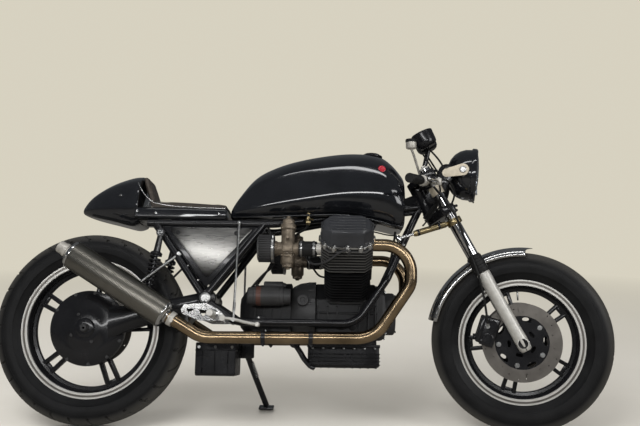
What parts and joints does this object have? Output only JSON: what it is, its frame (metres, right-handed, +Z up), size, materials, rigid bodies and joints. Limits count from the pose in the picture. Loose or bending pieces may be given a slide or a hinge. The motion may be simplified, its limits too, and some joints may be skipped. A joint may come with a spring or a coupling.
{
  "type": "cafe racer motorcycle",
  "caption": "Cafe racer motorcycle with a V-twin set across the frame, shaft drive, clip-on bars, a single seat with a humped tail, and a folding side stand.",
  "frame": {"origin": "centre of the bounding box on the floor under the parked machine", "axes": "+X forward towards the front wheel, +Y to the machine's left, +Z up; the machine leans towards +Y on its side stand"},
  "size_m": [2.1586, 0.7566, 1.0661],
  "materials": {
    "alloy": "dull cast alloy",
    "bronze_pipe": "chrome browned by heat",
    "can_metal": "dark brushed metal",
    "cast_black": "satin black over cast metal",
    "chrome": "bright",
    "engine_dark": "dark grey cast, light edges on the fins",
    "filter_cloth": "dark pleated",
    "gloss_black": "gloss black",
    "lens": "clear",
    "polished": "polished",
    "rubber": "matt",
    "satin_black": "satin black",
    "seat_black": "matt black leather",
    "steel": "brushed",
    "tyre_rubber": "matt, faint sheen on the shoulders"
  },
  "bodies": {
    "frame": {"rear_axle": "steel", "frame_head": "satin_black", "top_rails": "satin_black", "v_tubes": "satin_black", "cradle_rails": "satin_black", "swingarm": "satin_black", "final_drive": "cast_black", "rear_caliper": "alloy", "shocks": "chrome", "crankcase": "engine_dark", "gearbox": "engine_dark", "sump": "gloss_black", "starter_motor": "engine_dark", "cylinders": "engine_dark", "rocker_covers": "engine_dark", "carburettors": "alloy", "air_filters": "filter_cloth", "silencers": "can_metal", "headers": "bronze_pipe", "silencer_hangers": "polished", "fuel_tank": "gloss_black", "filler_cap": "polished", "tail_cowl": "gloss_black", "seat_pad": "seat_black", "back_pad": "seat_black", "battery_tray": "satin_black", "side_panels": "steel", "rearsets": "polished", "foot_levers": "polished", "side_stays": "steel", "stand_bracket": "satin_black", "damper_tab": "satin_black", "fuel_tap": "alloy"},
    "steering": {"front_axle": "steel", "fork_sliders": "polished", "fork_stanchions": "chrome", "fork_boots": "rubber", "lower_yoke": "satin_black", "upper_yoke": "polished", "front_mudguard": "polished", "front_calipers": "gloss_black", "headlight_shell": "gloss_black", "headlight_lens": "lens", "headlight_brackets": "satin_black", "clip_ons": "polished", "grips": "rubber", "levers": "polished", "instruments": "gloss_black", "brake_reservoir": "gloss_black", "brake_hose": "rubber"},
    "front_wheel": {"front_wheel": "gloss_black", "front_tyre": "tyre_rubber", "front_discs": "steel"},
    "rear_wheel": {"rear_wheel": "gloss_black", "rear_tyre": "tyre_rubber", "rear_disc": "steel"},
    "side_stand": {"side_stand": "satin_black"},
    "damper_barrel": {"damper_barrel": "polished"},
    "damper_rod": {"damper_rod": "chrome"}
  },
  "joints": [
    {"name": "steering", "type": "hinge", "parent": "frame", "child": "steering", "pos_m": [0.40852, 0.0021, 0.84658], "axis": [-0.4766, 0.1812, 0.8602], "range_deg": [-20.3, 41.7]},
    {"name": "front_wheel_spin", "type": "hinge", "parent": "steering", "child": "front_wheel", "pos_m": [0.76677, -0.12072, 0.31301], "axis": [0.1631, 0.9798, -0.116], "continuous": true},
    {"name": "rear_wheel_spin", "type": "hinge", "parent": "frame", "child": "rear_wheel", "pos_m": [-0.74537, -0.10589, 0.33486], "axis": [-0.0001, 0.9785, -0.2062], "continuous": true},
    {"name": "side_stand_fold", "type": "hinge", "parent": "frame", "child": "side_stand", "pos_m": [-0.21044, -0.01898, 0.24261], "axis": [-0.0001, 0.9785, -0.2062], "range_deg": [0, 95]},
    {"name": "damper_swivel", "type": "hinge", "parent": "steering", "child": "damper_barrel", "pos_m": [0.52538, -0.1279, 0.73179], "axis": [-0.4766, 0.1812, 0.8602], "range_deg": [-40, 24]},
    {"name": "damper_stroke", "type": "slide", "parent": "damper_barrel", "child": "damper_rod", "axis": [-0.952, -0.0843, -0.2942], "range_m": [-0.045, 0.085]}
  ],
  "couplings": [
    {"joint": "damper_swivel", "follows": "steering", "ratio": -0.76},
    {"joint": "damper_stroke", "follows": "steering", "m_per_rad": 0.0905}
  ]
}
